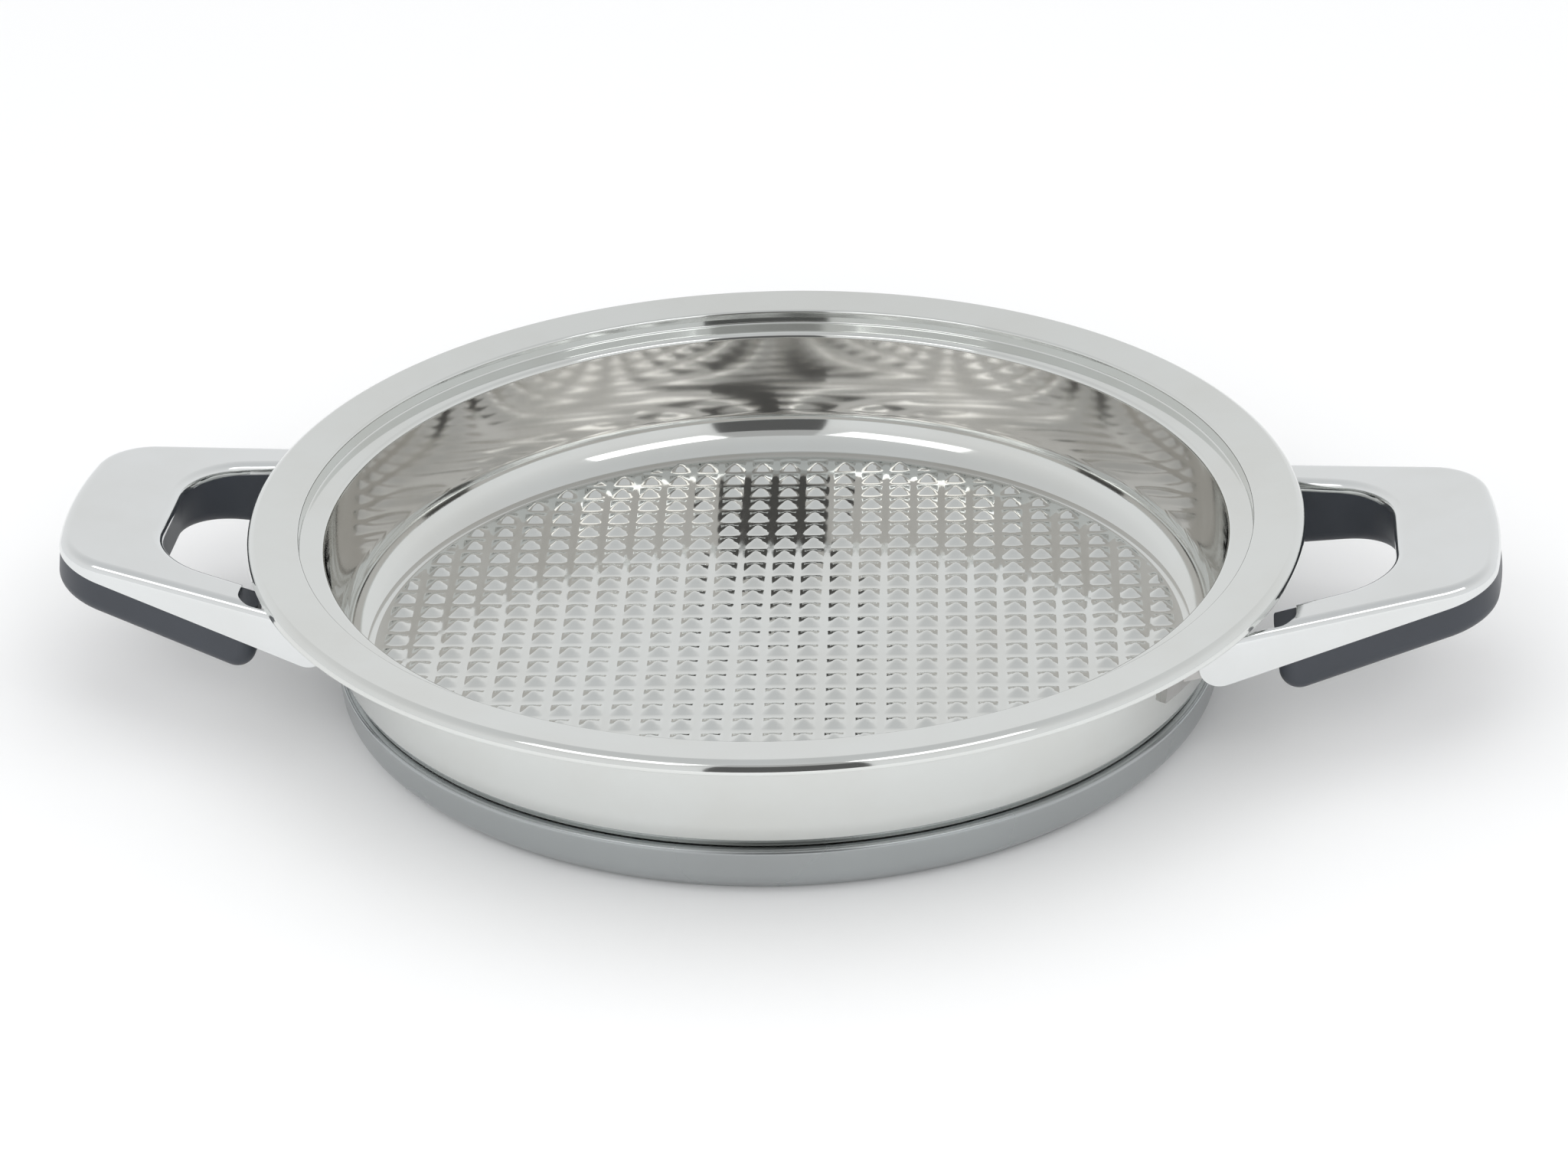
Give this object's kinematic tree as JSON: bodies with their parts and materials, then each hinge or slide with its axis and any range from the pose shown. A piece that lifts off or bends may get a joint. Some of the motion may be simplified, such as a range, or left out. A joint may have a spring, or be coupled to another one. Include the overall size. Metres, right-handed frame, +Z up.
{
  "type": "cooking pan",
  "caption": "low round stainless steel pan with an embossed pyramid floor, a flat rim with lid seat, a thick capped base and loop handles with black grips",
  "frame": {"origin": "centre of the underside of the base, on the surface the pan stands on", "axes": "+Z up out of the pan, +X and -X along the line through the two handles, +Y across"},
  "size_m": [0.389, 0.2848, 0.052],
  "materials": {
    "bowl_steel": "mirror polished stainless steel",
    "base_steel": "satin stainless steel",
    "core_aluminium": "plain, hidden inside the base",
    "cover_steel": "polished stainless steel",
    "grip_plastic": "blue-black moulded plastic, fine satin surface",
    "bracket_steel": "plain stainless steel",
    "screw_steel": "plain stainless steel"
  },
  "bodies": {
    "root": {"pan_shell": "bowl_steel", "base_cap": "base_steel", "base_core": "core_aluminium", "right_cover": "cover_steel", "right_grip": "grip_plastic", "right_bracket_front": "bracket_steel", "right_bracket_back": "bracket_steel", "right_screws": "screw_steel", "left_cover": "cover_steel", "left_grip": "grip_plastic", "left_bracket_front": "bracket_steel", "left_bracket_back": "bracket_steel", "left_screws": "screw_steel"}
  },
  "joints": []
}
